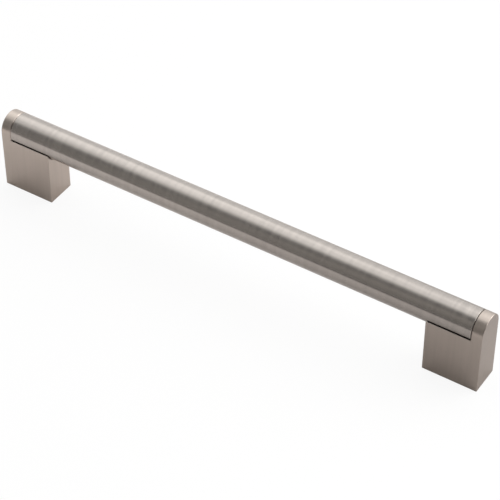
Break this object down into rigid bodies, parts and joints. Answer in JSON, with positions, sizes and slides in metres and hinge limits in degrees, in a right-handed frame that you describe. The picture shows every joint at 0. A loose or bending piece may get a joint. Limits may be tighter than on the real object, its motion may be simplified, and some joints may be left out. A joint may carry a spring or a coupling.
{
  "type": "bar cabinet pull",
  "caption": "Round brushed bar held flush between block feet with keyhole-shaped ends; it screws to a door or drawer front from behind.",
  "frame": {"origin": "on the plane of the door, midway between the two fixing holes, which is the bottom centre of the pull", "axes": "+X along the bar, +Y across it, +Z away from the door, out through the bar"},
  "size_m": [0.236, 0.014, 0.036],
  "materials": {
    "brushed_tube": "satin, brushed round the bar",
    "cast_feet": "satin nickel plating on a zinc alloy casting, brushed upright"
  },
  "bodies": {
    "root": {"bar_tube": "brushed_tube", "left_foot": "cast_feet", "right_foot": "cast_feet"}
  },
  "joints": []
}
